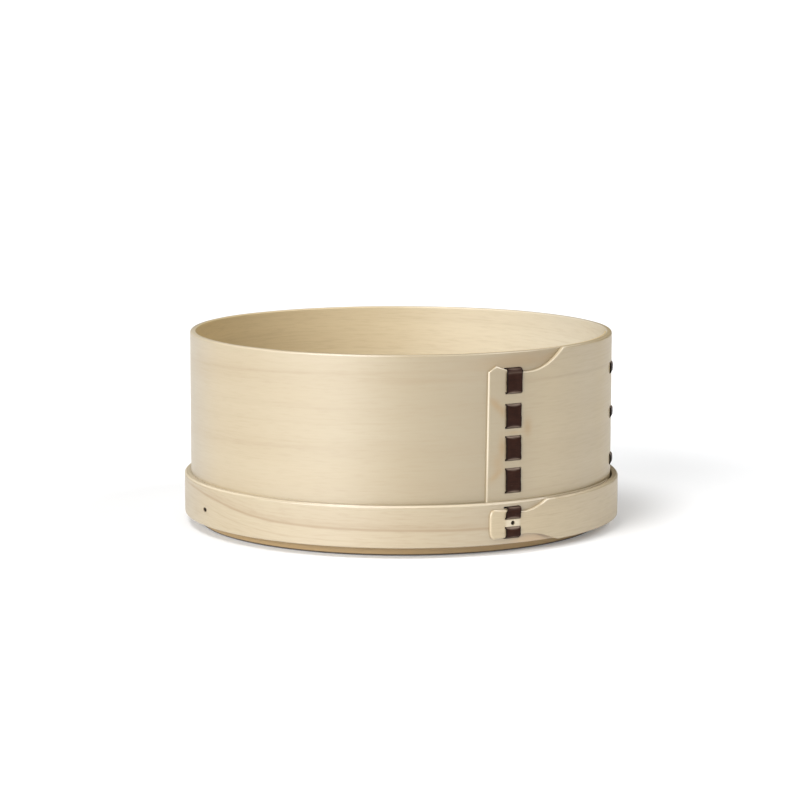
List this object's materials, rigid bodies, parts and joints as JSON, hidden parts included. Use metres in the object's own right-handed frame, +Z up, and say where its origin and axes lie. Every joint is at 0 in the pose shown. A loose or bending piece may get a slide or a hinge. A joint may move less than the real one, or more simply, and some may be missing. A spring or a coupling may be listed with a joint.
{
  "type": "steamer basket",
  "caption": "Round bentwood steamer basket: a lapped wood wall and base hoop laced with dark bark, a foot ring that nests on a pot or lower tier, and a loose slatted floor that lifts out.",
  "frame": {"origin": "on the basket's axis, at the level of the foot ring's underside", "axes": "+Z up along the basket's axis, -Y towards the laced seam of the wall"},
  "size_m": [0.1856, 0.1878, 0.0817],
  "materials": {
    "wall_wood": "bare planed softwood, fine straight grain around the ring, satin",
    "hoop_wood": "bare planed softwood, fine straight grain around the ring, satin",
    "ring_wood": "bare softwood, darker and warmer than the wall, matte",
    "bark": "smooth dark cherry bark strip, slight sheen",
    "claw_wood": "bare sawn softwood, matte",
    "peg_bamboo": "smoked bamboo, end grain, matte",
    "slat_wood": "bare planed softwood, grain along the slat, matte",
    "pin_bamboo": "bamboo, end grain, matte"
  },
  "bodies": {
    "basket": {"wall_band": "wall_wood", "base_hoop": "hoop_wood", "foot_ring": "ring_wood", "front_lacing": "bark", "side_lacing": "bark", "hoop_lacing": "bark", "claw_front": "claw_wood", "claw_right": "claw_wood", "claw_back": "claw_wood", "claw_left": "claw_wood", "peg_front": "peg_bamboo", "peg_right": "peg_bamboo", "peg_back": "peg_bamboo", "peg_left": "peg_bamboo"},
    "slat_floor": {"slat_1": "slat_wood", "slat_2": "slat_wood", "slat_3": "slat_wood", "slat_4": "slat_wood", "slat_5": "slat_wood", "slat_6": "slat_wood", "slat_7": "slat_wood", "slat_8": "slat_wood", "slat_9": "slat_wood", "batten_left": "slat_wood", "batten_right": "slat_wood", "slat_pin_01": "pin_bamboo", "slat_pin_02": "pin_bamboo", "slat_pin_03": "pin_bamboo", "slat_pin_04": "pin_bamboo", "slat_pin_05": "pin_bamboo", "slat_pin_06": "pin_bamboo", "slat_pin_07": "pin_bamboo", "slat_pin_08": "pin_bamboo", "slat_pin_09": "pin_bamboo", "slat_pin_10": "pin_bamboo", "slat_pin_11": "pin_bamboo", "slat_pin_12": "pin_bamboo", "slat_pin_13": "pin_bamboo", "slat_pin_14": "pin_bamboo", "slat_pin_15": "pin_bamboo", "slat_pin_16": "pin_bamboo", "slat_pin_17": "pin_bamboo", "slat_pin_18": "pin_bamboo"}
  },
  "joints": [
    {"name": "floor_lift", "type": "slide", "parent": "basket", "child": "slat_floor", "axis": [0, 0, 1], "range_m": [0, 0.08]}
  ]
}
